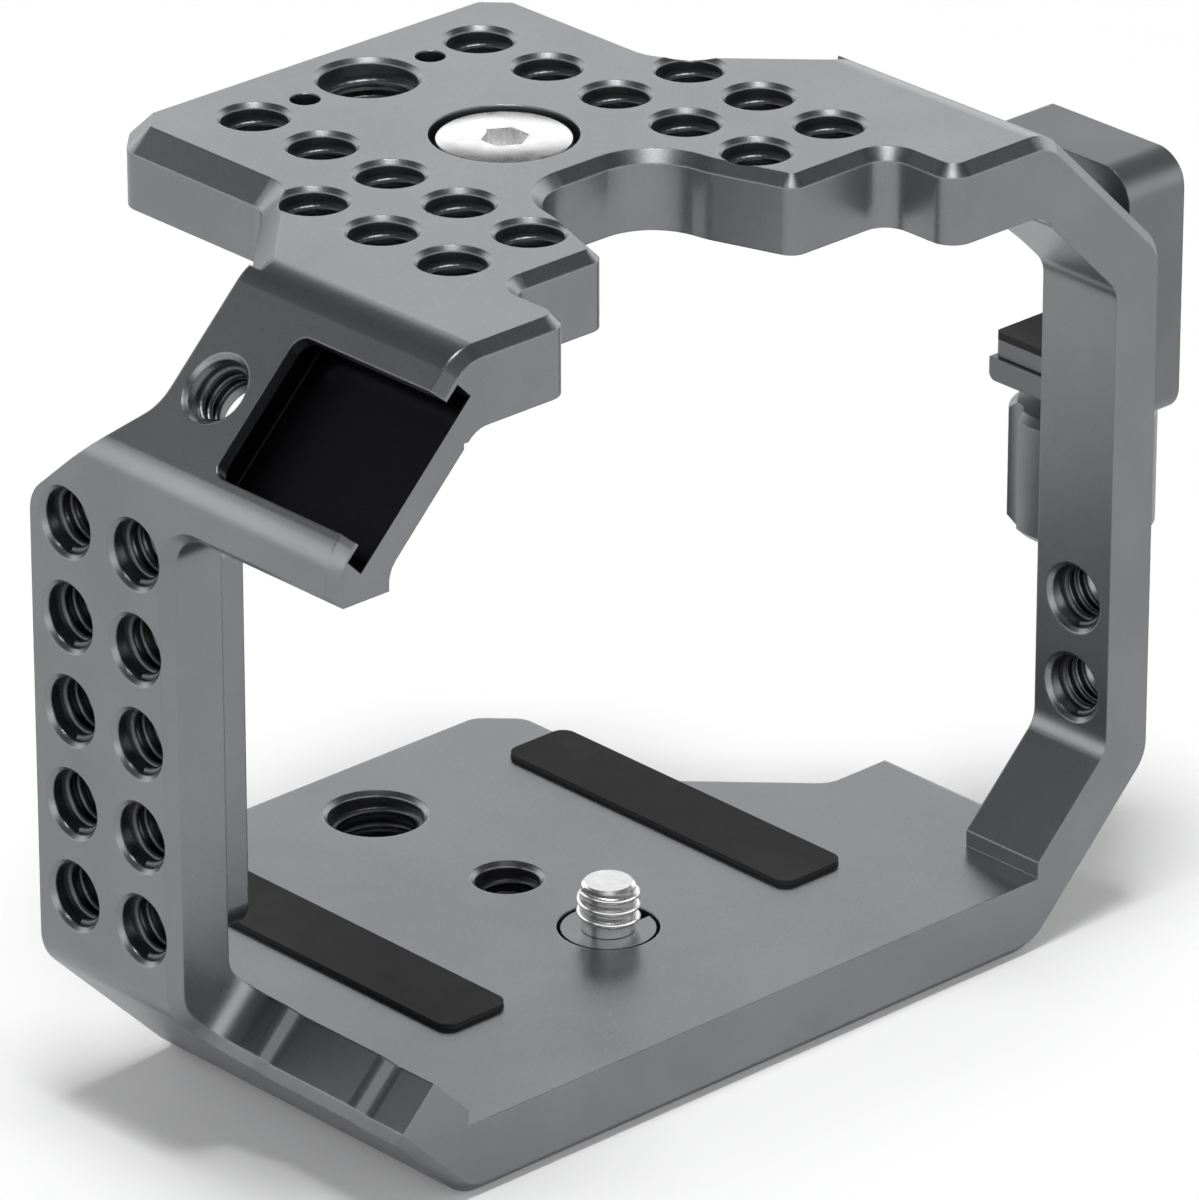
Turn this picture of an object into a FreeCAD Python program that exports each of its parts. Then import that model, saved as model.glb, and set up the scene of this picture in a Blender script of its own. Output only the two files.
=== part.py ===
"""Camera cage: a milled one-piece frame, two captive camera screws and a screw-driven cable clamp.

X is the right hand side seen from behind, Y points to the lens, Z is up, in millimetres.
The origin is the axis of the quarter inch thread in the base, on the bottom face.
"""
import FreeCAD, Part
import math
import os

from FreeCAD import Vector

os.makedirs("parts", exist_ok=True)

# Frame outline, seen from behind
height = 85.2
half_width = 52.9
flat_half = 37.2
wall = 6.6
base_wall = 7.6
bend_radius = 5.0
inner_radius = 3.0

# Frame depth
rear = -35.25
hoop_depth = 9.8
slope_front = -6.45
wing_front = 28.45
wing_half = 25.2
wing_bevel = 3.6
wing_radius = 2.6
plate_front = 6.65
diagonal_top = 11.0
diagonal_bottom = 22.5

# Top plate
plate_thickness = 7.8
tab_rear = -26.55
tab_inner = 12.1
tab_corner = 1.8
step_x = 24.0
cutout_waist = 9.15
cutout_waist_y = -18.0
cutout_waist_radius = 6.0
cutout_end = 7.9
cutout_end_y = -11.2
cutout_end_radius = 6.2
edge_chamfer = 1.1
wing_chamfer = 2.2
corner_radius = 2.5

# Left opening and its boss
opening_front = -12.45
opening_top = 20.4
opening_foot = 14.0
opening_radius = 4.0
foot_radius = 3.0
foot_step = 1.4
foot_step_length = 4.6
foot_step_radius = 1.2
foot_overhang = 4.0
boss_depth = 4.6
boss_setback = 2.4
boss_inset = 1.0
boss_top = 24.0
boss_bottom = 20.0

# Threaded hole pattern
pitch = 9.525
quarter_radius = 3.175
three_eighth_radius = 4.7625
mouth_chamfer = 0.45
locating_radius = 1.5
locating_depth = 5.0
locating_half = 7.94
side_hole_front = 1.7
side_hole_drop = 23.97
side_hole_depth = 6.6
upright_hole_z = 33.0
slope_hole_y = -11.35
slope_hole_run = 12.1

# Accessory shoe on the upper left slope
shoe_start = 4.4
shoe_mouth = 15.0
shoe_slot = 18.6
shoe_lip = 1.5
shoe_slot_height = 2.1
shoe_front = -16.6
shoe_corner = 1.6

# Camera screws
screw_head_radius = 6.5
screw_head_height = 2.9
screw_recess_radius = 7.15
screw_recess_depth = 3.9
screw_web = 1.3
screw_shank_radius = 2.6
screw_thread_radius = 3.1
screw_thread_length = 4.5
screw_hole_radius = 3.3
flat_gap = 0.05
ring_bore_gap = 0.05
screw_hex = 4.0
hex_depth = 1.7
washer_thickness = 0.6
washer_bore_gap = 0.15
clip_thickness = 0.5
clip_radius = 4.6
clip_recess_gap = 0.4
clip_bite = 0.35
clip_inset = 0.1
clip_gap = 1.8
screw_head_edge = 0.3
screw_tip_edge = 0.5
screw_neck_reach = 0.4
base_screw_y = -14.3

# Rubber pads
pad_thickness = 1.0
pad_pocket = 0.5
pad_radius = 1.5
pad_radius_share = 0.4
top_pad_share = 0.7
top_pad_length = 22.0
top_pad_y = -21.0
base_pad_width = 8.0
base_pad_length = 40.0
base_pad_x = 22.0
base_pad_y = 0.0
side_pad_height = 30.0
side_pad_length = 12.0

# Cable clamp
clamp_thickness = 8.0
clamp_rear = -30.3
clamp_front = -11.95
clamp_top = 75.2
clamp_bottom = 48.2
clamp_top_radius = 3.5
clamp_bottom_radius = 2.7
clamp_front_radius = 0.8
clamp_edge = 0.5
clamp_window_rear = -24.85
clamp_window_top = 71.6
window_corner = 0.4
clamp_floor = 2.4
clamp_screw_y = -27.9
clamp_screw_z = (65.0, 52.4)
clamp_screw_radius = 1.25
clamp_screw_head_radius = 2.1
clamp_screw_length = 11.0
clamp_screw_sink = 3.2
clamp_screw_head = 2.5
clamp_screw_hex = 2.0
dowel_radius = 1.0
dowel_depth = 2.5
dowel_z = (61.0, 56.4)

# Clamp jaw and stem
stem_x_offset = 5.1
stem_y = -19.85
stem_radius = 1.5
stem_thread_gap = 0.05
stem_end_gap = 0.2
stem_edge = 0.3
jaw_height = 1.8
jaw_gap = 0.15
jaw_rest_gap = 0.1
jaw_front_inset = 0.4
jaw_side_inset = 0.4
jaw_corner = 0.6
jaw_pad_thickness = 0.8
top_pad_thickness = 1.2

# Knob
knob_radius = 7.25
knob_height = 13.0
knob_lobes = 6
knob_scallop_radius = 2.2
knob_scallop_out = 1.1
knob_edge = 0.8
knob_clearance = 1.3
knob_web = 2.0
knob_collar_radius = 3.0
knob_neck_radius = 2.2
neck_bore_gap = 0.1
neck_end = 0.2
knob_ring_radius = 3.2
knob_ring_thickness = 0.4
knob_ring_bite = 0.2
knob_ring_gap = 0.1
knob_ring_slot = 1.4
knob_recess_radius = 3.5
knob_recess_depth = 0.8

# Worked out sizes
run = half_width - flat_half
tan_half = math.tan(math.radians(22.5))
top = height
inner_side = half_width - wall
inner_low = flat_half - wall * math.sqrt(2) + base_wall
inner_high = flat_half - wall * math.sqrt(2) + plate_thickness
inner_run_z = run + wall * tan_half
plate_under = top - plate_thickness
top_pad_start = 2.5 * pitch + quarter_radius + mouth_chamfer
top_pad_stop = inner_high - inner_radius * tan_half
slope_out = Vector(-1, 0, 1).normalize()
slope_down = Vector(-1, 0, -1).normalize()
hoop_front = rear + hoop_depth


def rounded(points, place):
    """A closed wire through (u, v, radius) corners, each corner an arc of its radius."""
    edges = []
    ends = []
    count = len(points)
    for index, (u, v, radius) in enumerate(points):
        before = points[index - 1]
        after = points[(index + 1) % count]
        into = Vector(u - before[0], v - before[1], 0).normalize()
        away = Vector(after[0] - u, after[1] - v, 0).normalize()
        turn = into.getAngle(away)
        if radius <= 0:
            ends.append((Vector(u, v, 0), None, Vector(u, v, 0)))
            continue
        cut = radius * math.tan(turn / 2)
        start = Vector(u, v, 0) - into * cut
        stop = Vector(u, v, 0) + away * cut
        middle = Vector(u, v, 0) + (away - into).normalize() * (radius / math.cos(turn / 2) - radius)
        ends.append((start, middle, stop))
    for index, (start, middle, stop) in enumerate(ends):
        if middle is not None:
            edges.append(Part.Arc(place(start), place(middle), place(stop)).toShape())
        following = ends[(index + 1) % count][0]
        if stop.distanceToPoint(following) > 1e-6:
            edges.append(Part.makeLine(place(stop), place(following)))
    return Part.Wire(edges)


def prism(points, place, along):
    """A solid: the rounded outline moved along a vector."""
    return Part.Face(rounded(points, place)).extrude(along)


def plan(z):
    return lambda p: Vector(p.x, p.y, z)


def section(y):
    return lambda p: Vector(p.x, y, p.y)


def side(x):
    return lambda p: Vector(x, p.x, p.y)


def on_slope(depth):
    """Points of the upper left slope: u runs down the slope, v along Y, depth into the wall."""
    corner = Vector(-flat_half, 0, top)
    return lambda p: corner + slope_down * p.x + Vector(0, p.y, 0) - slope_out * depth


def box(x0, x1, y0, y1, z0, z1):
    return Part.makeBox(x1 - x0, y1 - y0, z1 - z0, Vector(x0, y0, z0))


def rod(radius, start, direction, length):
    return Part.makeCylinder(radius, length, start, direction)


def countersink(radius, depth, mouth, inward):
    """The cone that breaks the edge of a hole at its mouth."""
    return Part.makeCone(radius + depth, radius, depth, mouth, inward)


def blind_hole(radius, mouth, inward, length):
    """A threaded hole at its major radius, with a flat floor and a chamfered mouth."""
    hole = rod(radius, mouth - inward, inward, length + 1)
    return hole.fuse(countersink(radius, mouth_chamfer, mouth, inward))


def through_hole(radius, mouth, inward, length):
    """A threaded hole at its major radius, with both mouths chamfered."""
    far = mouth + inward * length
    hole = blind_hole(radius, mouth, inward, length + 1)
    return hole.fuse(countersink(radius, mouth_chamfer, far, inward * -1))


def hexagon(across, start, direction, depth):
    """A hexagonal socket of a given width across flats."""
    corner = across / math.sqrt(3)
    points = [Vector(corner * math.cos(math.radians(60 * k)), corner * math.sin(math.radians(60 * k)), 0)
              for k in range(7)]
    solid = Part.Face(Part.makePolygon(points)).extrude(Vector(0, 0, depth))
    solid.Placement = FreeCAD.Placement(start, FreeCAD.Rotation(Vector(0, 0, 1), direction))
    return solid


def edges_where(shape, test):
    return [edge for edge in shape.Edges if all(test(v.Point) for v in edge.Vertexes)]


def halves(points):
    """Mirror an outline's right hand corners to the left."""
    return points + [(-u, v, radius) for u, v, radius in reversed(points)]


# Frame
def outer_prism():
    """The rounded eight-sided outline, seen from behind, with its rear edge chamfered."""
    outline = halves([(flat_half, 0, bend_radius), (half_width, run, bend_radius),
                      (half_width, top - run, bend_radius), (flat_half, top, bend_radius)])
    solid = prism(outline, section(rear), Vector(0, wing_front - rear, 0))
    return solid.makeChamfer(edge_chamfer, edges_where(solid, lambda p: abs(p.y - rear) < 1e-4))


def camera_space():
    """The hollow inside the frame: eight-sided, its upper and lower faces under the two plates."""
    outline = halves([(inner_low, base_wall, inner_radius), (inner_side, inner_run_z, inner_radius),
                      (inner_side, top - inner_run_z, inner_radius), (inner_high, plate_under, inner_radius)])
    return prism(outline, section(rear - 1), Vector(0, wing_front - rear + 2, 0))


def plate_outline(front_left, front_right, rear_cut):
    """The plan of the top or base plate; on top the rear is cut away for the camera's controls."""
    beyond = half_width + 1
    reach = flat_half - wing_half
    back = rear if rear_cut else rear - 1
    points = [(beyond, back, 0), (beyond, front_right, 0), (flat_half, front_right, 3.0),
              (wing_half, front_right + reach, 3.0), (wing_half, wing_front - wing_bevel, wing_radius),
              (wing_half - wing_bevel, wing_front, wing_radius), (-wing_half + wing_bevel, wing_front, wing_radius),
              (-wing_half, wing_front - wing_bevel, wing_radius), (-wing_half, front_left + reach, 3.0),
              (-flat_half, front_left, 3.0), (-beyond, front_left, 0), (-beyond, back, 0)]
    if rear_cut:
        left = [(-step_x, rear, corner_radius), (-step_x, tab_rear, corner_radius),
                (-tab_inner, tab_rear, tab_corner), (-cutout_waist, cutout_waist_y, cutout_waist_radius),
                (-cutout_end, cutout_end_y, cutout_end_radius)]
        points += left + [(-u, v, radius) for u, v, radius in reversed(left)]
    return points


def top_zone():
    """The top plate's plan as a block, its upper edges chamfered, deeper along the wings."""
    block = prism(plate_outline(slope_front, slope_front, True), plan(plate_under - 1),
                  Vector(0, 0, top - plate_under + 1))
    upper = [edge for edge in block.Edges if all(abs(v.Z - top) < 1e-4 for v in edge.Vertexes)
             and abs(edge.CenterOfMass.x) < half_width and edge.CenterOfMass.y > rear - 0.9]
    back = [edge for edge in upper if edge.CenterOfMass.y < slope_front - 1]
    block = block.makeChamfer(edge_chamfer, back)
    front = [edge for edge in block.Edges if all(abs(v.Z - top) < 1e-4 for v in edge.Vertexes)
             and abs(edge.CenterOfMass.x) < half_width and edge.CenterOfMass.y > slope_front - 1]
    return block.makeChamfer(wing_chamfer, front)


def side_zone(sign, front, depth_top, depth_bottom):
    """The side view of one flank: its front edge steps from the plate's to the wall's by a diagonal."""
    beyond = half_width + 1
    profile = [(rear - 1, top + 1, 0), (slope_front, top + 1, 0), (slope_front, top - depth_top, 3.0),
               (front, top - depth_bottom, 4.0), (front, -1, 0), (rear - 1, -1, 0)]
    start = -beyond if sign < 0 else flat_half
    return prism(profile, side(start), Vector(beyond - flat_half, 0, 0))


def opening_cutter():
    """The tool that opens the left flank to the rear, down to a stepped floor square to the lower slope."""
    beyond = half_width + 1
    profile = [(rear - 1, top - opening_top, 0), (opening_front, top - opening_top, opening_radius),
               (opening_front, 0, 0), (rear - 1, 0, 0)]
    block = prism(profile, side(-beyond), Vector(beyond - flat_half + 2, 0, 0))
    return block.common(prism(foot_profile(), on_lower_slope(foot_overhang),
                              Vector(1, 0, 1).normalize() * (top + foot_overhang)))


def foot_profile():
    """The opening's outline on the lower left slope, stepping down twice towards the rear."""
    high = opening_foot + foot_step
    low = opening_foot - foot_step
    rear_low = rear + foot_step_length
    front_low = opening_front - foot_step_length
    up_slope = opening_foot + top
    return [(rear - 1, low, 0), (rear_low, low, foot_step_radius),
            (rear_low + foot_step, opening_foot, foot_step_radius),
            (front_low - foot_step, opening_foot, foot_step_radius),
            (front_low, high, foot_step_radius), (opening_front, high, foot_radius),
            (opening_front, up_slope, 0), (rear - 1, up_slope, 0)]


def on_lower_slope(outside):
    """Points of the lower left slope, moved outwards: u is Y and v the distance up from its foot."""
    corner = Vector(-flat_half - outside / math.sqrt(2), 0, -outside / math.sqrt(2))
    return lambda p: corner + Vector(0, p.x, 0) + slope_out * p.y


def flank_boss():
    """The inner boss of the left wall, which meets the camera's side."""
    front = plate_front - boss_inset
    profile = [(opening_front + boss_setback, boss_bottom, 3.0), (front, boss_bottom, 3.0),
               (front, top - boss_top, 3.0), (opening_front + boss_setback, top - boss_top, 3.0)]
    return prism(profile, side(-inner_side - 0.5), Vector(boss_depth + 0.5, 0, 0))


def shoe_cutter():
    """The accessory shoe: a slot under two lips in the upper left slope, open to the rear."""
    middle = shoe_start + shoe_mouth / 2
    length = shoe_front - rear + 2
    mouth = [(middle - shoe_mouth / 2, rear - 2, 0), (middle - shoe_mouth / 2, shoe_front, shoe_corner),
             (middle + shoe_mouth / 2, shoe_front, shoe_corner), (middle + shoe_mouth / 2, rear - 2, 0)]
    slot = [(middle - shoe_slot / 2, rear - 2, 0), (middle - shoe_slot / 2, shoe_front, shoe_corner),
            (middle + shoe_slot / 2, shoe_front, shoe_corner), (middle + shoe_slot / 2, rear - 2, 0)]
    deep = shoe_lip + shoe_slot_height
    opening = prism(mouth, on_slope(-2), slope_out * -(deep + 2))
    return opening.fuse(prism(slot, on_slope(shoe_lip), slope_out * -shoe_slot_height))


def top_hole_places():
    """The quarter inch holes of the top plate: two long outer-inner columns and two short outer ones."""
    inner_x = 1.5 * pitch
    outer_x = 2.5 * pitch
    places = [(sign * inner_x, (2 - k) * pitch) for k in range(5) for sign in (-1, 1)]
    return places + [(sign * outer_x, -k * pitch) for k in range(3) for sign in (-1, 1)]


def threaded_holes():
    """Every tapped hole of the frame, at its major radius, and the locating holes."""
    down = Vector(0, 0, -1)
    up = Vector(0, 0, 1)
    deep = top - plate_under
    holes = [through_hole(quarter_radius, Vector(x, y, top), down, deep) for x, y in top_hole_places()]
    holes.append(through_hole(three_eighth_radius, Vector(0, 2 * pitch, top), down, deep))
    for sign in (-1, 1):
        holes.append(rod(locating_radius, Vector(sign * locating_half, 2 * pitch, top + 1), down,
                         locating_depth + 1))
        holes.append(rod(locating_radius, Vector(sign * locating_half, 2 * pitch, -1), up, locating_depth + 1))
    for row in range(5):
        for column in range(2):
            mouth = Vector(-half_width, side_hole_front - column * pitch, top - side_hole_drop - row * pitch)
            holes.append(blind_hole(quarter_radius, mouth, Vector(1, 0, 0), side_hole_depth))
    for row in range(2):
        mouth = Vector(inner_side, (rear + hoop_front) / 2, upright_hole_z - row * pitch)
        holes.append(through_hole(quarter_radius, mouth, Vector(1, 0, 0), wall))
    mouth = on_slope(0)(Vector(slope_hole_run, slope_hole_y, 0))
    holes.append(through_hole(quarter_radius, mouth, slope_out * -1, wall))
    inner_mouth = Vector(0, 0, base_wall)
    holes.append(blind_hole(quarter_radius, inner_mouth, down, base_wall + 1))
    holes.append(through_hole(three_eighth_radius, Vector(0, 2 * pitch, 0), up, base_wall))
    return holes


def camera_screw_seat(mouth, inward, plate):
    """Counterbore, clearance hole and retaining ring recess for one camera screw."""
    seat = rod(screw_recess_radius, mouth - inward * 0.5, inward, screw_recess_depth + 0.5)
    seat = seat.fuse(rod(screw_hole_radius, mouth, inward, plate + 0.5))
    start = screw_recess_depth + screw_web
    recess = rod(clip_radius + clip_recess_gap, mouth + inward * start, inward, plate - start + 0.5)
    return seat.fuse(recess)


def top_pad(sign, sink, thickness):
    """A pad under the top plate, between its outer threaded holes and the camera space's corner."""
    return pad_block(sign * (top_pad_start + top_pad_stop) / 2, top_pad_y,
                     top_pad_share * (top_pad_stop - top_pad_start), top_pad_length,
                     plan(plate_under + sink), Vector(0, 0, -thickness))


def base_pad(sign, sink, thickness):
    """A long pad on the base plate, clear of its holes."""
    return pad_block(sign * base_pad_x, base_pad_y, base_pad_width, base_pad_length,
                     plan(base_wall - sink), Vector(0, 0, thickness))


def side_pad(sink, thickness):
    """The pad on the left boss, against the camera's side."""
    middle_y = (opening_front + boss_setback + plate_front - boss_inset) / 2
    middle_z = (boss_bottom + top - boss_top) / 2
    return pad_block(middle_y, middle_z, side_pad_length, side_pad_height,
                     side(boss_depth - inner_side - sink), Vector(thickness, 0, 0))


def pad_block(u, v, width, length, place, along):
    """A flat pad with round corners, or the pocket for one."""
    radius = min(pad_radius, pad_radius_share * width)
    corners = [(u - width / 2, v - length / 2, radius), (u + width / 2, v - length / 2, radius),
               (u + width / 2, v + length / 2, radius), (u - width / 2, v + length / 2, radius)]
    return prism(corners, place, along)


def opening_edges(solid):
    """The left opening's edges on the outside of the frame, from its top round to its foot."""
    def outside(p):
        on_side = abs(p.x + half_width) < 1e-3
        on_lower = abs(p.x + p.z + flat_half) < 1e-3
        return p.y < opening_front + 1e-3 and p.y > rear + edge_chamfer - 1e-3 and (on_side or on_lower)

    def across(edge):
        return max(v.Point.y for v in edge.Vertexes) > rear + edge_chamfer + 1e-3

    return [edge for edge in edges_where(solid, outside)
            if across(edge) and edge.CenterOfMass.z < top - opening_top + 1e-3]


def cage_frame():
    shell = outer_prism().cut(camera_space())
    base = prism(plate_outline(plate_front, slope_front, False), plan(-1), Vector(0, 0, base_wall + 1))
    zones = top_zone().multiFuse([base, side_zone(-1, plate_front, diagonal_top, diagonal_bottom),
                                  side_zone(1, hoop_front, wall - 2, run - 2)])
    solid = shell.common(zones).cut(opening_cutter())
    solid = solid.makeChamfer(edge_chamfer, opening_edges(solid))
    solid = solid.fuse(flank_boss()).cut(shoe_cutter())
    for hole in threaded_holes():
        solid = solid.cut(hole)
    solid = solid.cut(camera_screw_seat(Vector(0, 0, top), Vector(0, 0, -1), top - plate_under))
    solid = solid.cut(camera_screw_seat(Vector(0, base_screw_y, 0), Vector(0, 0, 1), base_wall))
    for sign in (-1, 1):
        solid = solid.cut(top_pad(sign, pad_pocket, pad_pocket)).cut(base_pad(sign, pad_pocket, pad_pocket))
    solid = solid.cut(side_pad(pad_pocket, pad_pocket))
    for z in clamp_screw_z:
        solid = solid.cut(rod(clamp_screw_radius, clamp_screw_seat(z), Vector(-1, 0, 0), clamp_screw_length))
    for z in dowel_z:
        solid = solid.cut(rod(dowel_radius, Vector(half_width + 1, clamp_screw_y, z), Vector(-1, 0, 0),
                              dowel_depth + 1))
    return solid.removeSplitter()


def save(name, *solids):
    shape = Part.makeCompound(list(solids)) if len(solids) > 1 else solids[0]
    shape.exportStep("parts/" + name + ".step")
    print(name, len(shape.Solids), shape.isValid(), round(shape.Volume, 1))


# Camera screws
def camera_screw(mouth, inward, plate):
    """A flat-headed hex screw: its neck runs in the plate and its threaded end holds the camera."""
    seat = mouth + inward * screw_recess_depth
    under_head = seat - inward * (washer_thickness + 2 * flat_gap)
    head = rod(screw_head_radius, under_head, inward * -1, screw_head_height)
    face = under_head - inward * screw_head_height
    rim = [edge for edge in head.Edges if edge.Closed and edge.CenterOfMass.distanceToPoint(face) < 1e-6]
    head = head.makeChamfer(screw_head_edge, rim)
    neck_length = washer_thickness + 2 * flat_gap + plate - screw_recess_depth + screw_neck_reach
    neck = rod(screw_shank_radius, under_head, inward, neck_length)
    thread = rod(screw_thread_radius, under_head + inward * neck_length, inward, screw_thread_length)
    tip = under_head + inward * (neck_length + screw_thread_length)
    ends = [edge for edge in thread.Edges if edge.Closed and edge.CenterOfMass.distanceToPoint(tip) < 1e-6]
    thread = thread.makeChamfer(screw_tip_edge, ends)
    screw = head.fuse(neck).fuse(thread).cut(hexagon(screw_hex, face, inward, hex_depth))
    start = clip_start(mouth, inward, plate) - inward * flat_gap
    width = clip_thickness + 2 * flat_gap
    groove = rod(screw_shank_radius + 0.1, start, inward, width)
    groove = groove.cut(rod(screw_shank_radius - clip_bite, start, inward, width))
    return screw.cut(groove).removeSplitter()


def clip_start(mouth, inward, plate):
    """Where the retaining ring begins along the screw: it lies just inside the plate's inner face."""
    return mouth + inward * (plate - clip_inset - clip_thickness)


def camera_screw_washer(mouth, inward):
    """The friction washer under the screw's head."""
    start = mouth + inward * (screw_recess_depth - flat_gap - washer_thickness)
    ring = rod(screw_head_radius, start, inward, washer_thickness)
    return ring.cut(rod(screw_shank_radius + washer_bore_gap, start - inward * 1, inward, washer_thickness + 2))


def camera_screw_clip(mouth, inward, plate):
    """An open retaining ring in the screw's groove, which keeps the screw in the cage."""
    start = clip_start(mouth, inward, plate)
    ring = rod(clip_radius, start, inward, clip_thickness)
    bore = screw_shank_radius - clip_bite + ring_bore_gap
    ring = ring.cut(rod(bore, start - inward * 1, inward, clip_thickness + 2))
    gap = box(0, clip_radius + 1, -clip_gap / 2, clip_gap / 2, -clip_thickness, 2 * clip_thickness)
    gap.Placement = FreeCAD.Placement(start, FreeCAD.Rotation(Vector(0, 0, 1), inward))
    return ring.cut(gap)


# Cable clamp
def clamp_screw_seat(z):
    """Where a clamp screw's head begins: the floor of its counterbore in the block's outer face."""
    return Vector(half_width + clamp_thickness - clamp_screw_sink, clamp_screw_y, z)


def stem_axis(z):
    return Vector(half_width + stem_x_offset, stem_y, z)


def window_bottom():
    return clamp_bottom + clamp_floor


def clamp_body():
    """The C-shaped block on the right upright: a back, an upper arm and a thin floor bored for the knob."""
    profile = [(clamp_rear, clamp_bottom, clamp_bottom_radius), (clamp_front, clamp_bottom, clamp_front_radius),
               (clamp_front, clamp_top, clamp_front_radius), (clamp_rear, clamp_top, clamp_top_radius)]
    block = prism(profile, side(half_width), Vector(clamp_thickness, 0, 0))
    outer = half_width + clamp_thickness
    rim = [edge for edge in block.Edges if all(abs(v.X - outer) < 1e-4 for v in edge.Vertexes)]
    block = block.makeChamfer(clamp_edge, rim)
    window = [(clamp_window_rear, window_bottom(), window_corner), (clamp_front + 1, window_bottom(), 0),
              (clamp_front + 1, clamp_window_top, 0), (clamp_window_rear, clamp_window_top, window_corner)]
    block = block.cut(prism(window, side(half_width - 1), Vector(clamp_thickness + 2, 0, 0)))
    block = block.cut(rod(knob_neck_radius + neck_bore_gap, stem_axis(clamp_bottom - 1), Vector(0, 0, 1),
                          clamp_floor + 2))
    block = block.cut(rod(knob_recess_radius, stem_axis(window_bottom() - knob_recess_depth), Vector(0, 0, 1),
                          knob_recess_depth + 1))
    for z in clamp_screw_z:
        seat = clamp_screw_seat(z)
        block = block.cut(rod(clamp_screw_radius, seat, Vector(-1, 0, 0), clamp_thickness))
        block = block.cut(rod(clamp_screw_head_radius + 0.15, seat, Vector(1, 0, 0), clamp_screw_sink + 1))
    for z in dowel_z:
        block = block.cut(rod(dowel_radius, Vector(half_width - 1, clamp_screw_y, z), Vector(1, 0, 0),
                              dowel_depth + 1))
    return block.removeSplitter()


def clamp_screw(z):
    """A socket head screw that holds the clamp's block to the upright."""
    seat = clamp_screw_seat(z)
    head = rod(clamp_screw_head_radius, seat, Vector(1, 0, 0), clamp_screw_head)
    face = seat + Vector(clamp_screw_head, 0, 0)
    shank = rod(clamp_screw_radius, seat, Vector(-1, 0, 0), clamp_screw_length)
    return head.fuse(shank).cut(hexagon(clamp_screw_hex, face, Vector(-1, 0, 0), clamp_screw_head / 2))


def clamp_dowel(z):
    return rod(dowel_radius, Vector(half_width - dowel_depth, clamp_screw_y, z), Vector(1, 0, 0),
               2 * dowel_depth)


def jaw_bottom():
    return window_bottom() + jaw_rest_gap


def jaw_plan():
    """The jaw's plan: its straight rear edge runs along the block's back, which keeps it from turning."""
    front = clamp_front - jaw_front_inset
    back = clamp_window_rear + jaw_gap
    inner = half_width + jaw_side_inset
    outer = half_width + clamp_thickness - jaw_side_inset
    return [(inner, back, jaw_corner), (outer, back, jaw_corner), (outer, front, jaw_corner),
            (inner, front, jaw_corner)]


def clamp_jaw():
    """The moving jaw: a plate bored for the stem that is pressed into it."""
    jaw = prism(jaw_plan(), plan(jaw_bottom()), Vector(0, 0, jaw_height))
    return jaw.cut(rod(stem_radius, stem_axis(jaw_bottom() - 1), Vector(0, 0, 1), jaw_height + 2))


def clamp_jaw_pad():
    """The rubber face bonded on the jaw."""
    return prism(jaw_plan(), plan(jaw_bottom() + jaw_height), Vector(0, 0, jaw_pad_thickness))


def clamp_top_pad():
    """The rubber face bonded under the block's upper arm."""
    corners = [(u, max(v, clamp_window_rear + window_corner + jaw_gap), radius) for u, v, radius in jaw_plan()]
    return prism(corners, plan(clamp_window_top - top_pad_thickness), Vector(0, 0, top_pad_thickness))


def knob_top():
    return clamp_bottom - knob_clearance


def knob_ring_start():
    return window_bottom() - knob_recess_depth + knob_ring_gap


def clamp_stem():
    """The threaded stem pressed into the jaw; the knob's thread draws it up and down."""
    low = knob_top() - knob_height + knob_web + stem_end_gap
    stem = rod(stem_radius, stem_axis(low), Vector(0, 0, 1), jaw_bottom() + jaw_height - low)
    tip = [edge for edge in stem.Edges if edge.Closed and abs(edge.CenterOfMass.z - low) < 1e-6]
    return stem.makeChamfer(stem_edge, tip)


def clamp_knob():
    """The lobed thumb knob with its neck, tapped for the jaw's stem."""
    top_face = knob_top()
    low = top_face - knob_height
    knob = rod(knob_radius, stem_axis(low), Vector(0, 0, 1), knob_height)
    knob = knob.makeChamfer(knob_edge, [edge for edge in knob.Edges if edge.Closed])
    for k in range(knob_lobes):
        angle = 2 * math.pi * (k + 0.5) / knob_lobes
        away = Vector(math.cos(angle), math.sin(angle), 0) * (knob_radius + knob_scallop_out)
        knob = knob.cut(rod(knob_scallop_radius, stem_axis(low - 1) + away, Vector(0, 0, 1), knob_height + 2))
    neck_top = knob_ring_start() + knob_ring_thickness + knob_ring_gap + neck_end
    knob = knob.fuse(rod(knob_collar_radius, stem_axis(top_face), Vector(0, 0, 1), knob_clearance - flat_gap))
    knob = knob.fuse(rod(knob_neck_radius, stem_axis(top_face), Vector(0, 0, 1), neck_top - top_face))
    groove = rod(knob_neck_radius + 0.1, stem_axis(knob_ring_start()), Vector(0, 0, 1),
                 knob_ring_thickness + knob_ring_gap)
    groove = groove.cut(rod(knob_neck_radius - knob_ring_bite, stem_axis(knob_ring_start()), Vector(0, 0, 1),
                            knob_ring_thickness + knob_ring_gap))
    knob = knob.cut(groove)
    return knob.cut(rod(stem_radius + stem_thread_gap, stem_axis(low + knob_web), Vector(0, 0, 1),
                        neck_top - low)).removeSplitter()


def clamp_knob_ring():
    """The retaining ring on the knob's neck, in the recess of the block's floor."""
    start = stem_axis(knob_ring_start())
    ring = rod(knob_ring_radius, start, Vector(0, 0, 1), knob_ring_thickness)
    ring = ring.cut(rod(knob_neck_radius - knob_ring_bite + ring_bore_gap, start - Vector(0, 0, 1),
                        Vector(0, 0, 1), knob_ring_thickness + 2))
    gap = box(0, knob_ring_radius + 1, -knob_ring_slot / 2, knob_ring_slot / 2, -1, 2)
    gap.translate(start)
    return ring.cut(gap)


down = Vector(0, 0, -1)
up = Vector(0, 0, 1)
top_mouth = Vector(0, 0, top)
base_mouth = Vector(0, base_screw_y, 0)
top_plate = top - plate_under

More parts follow.
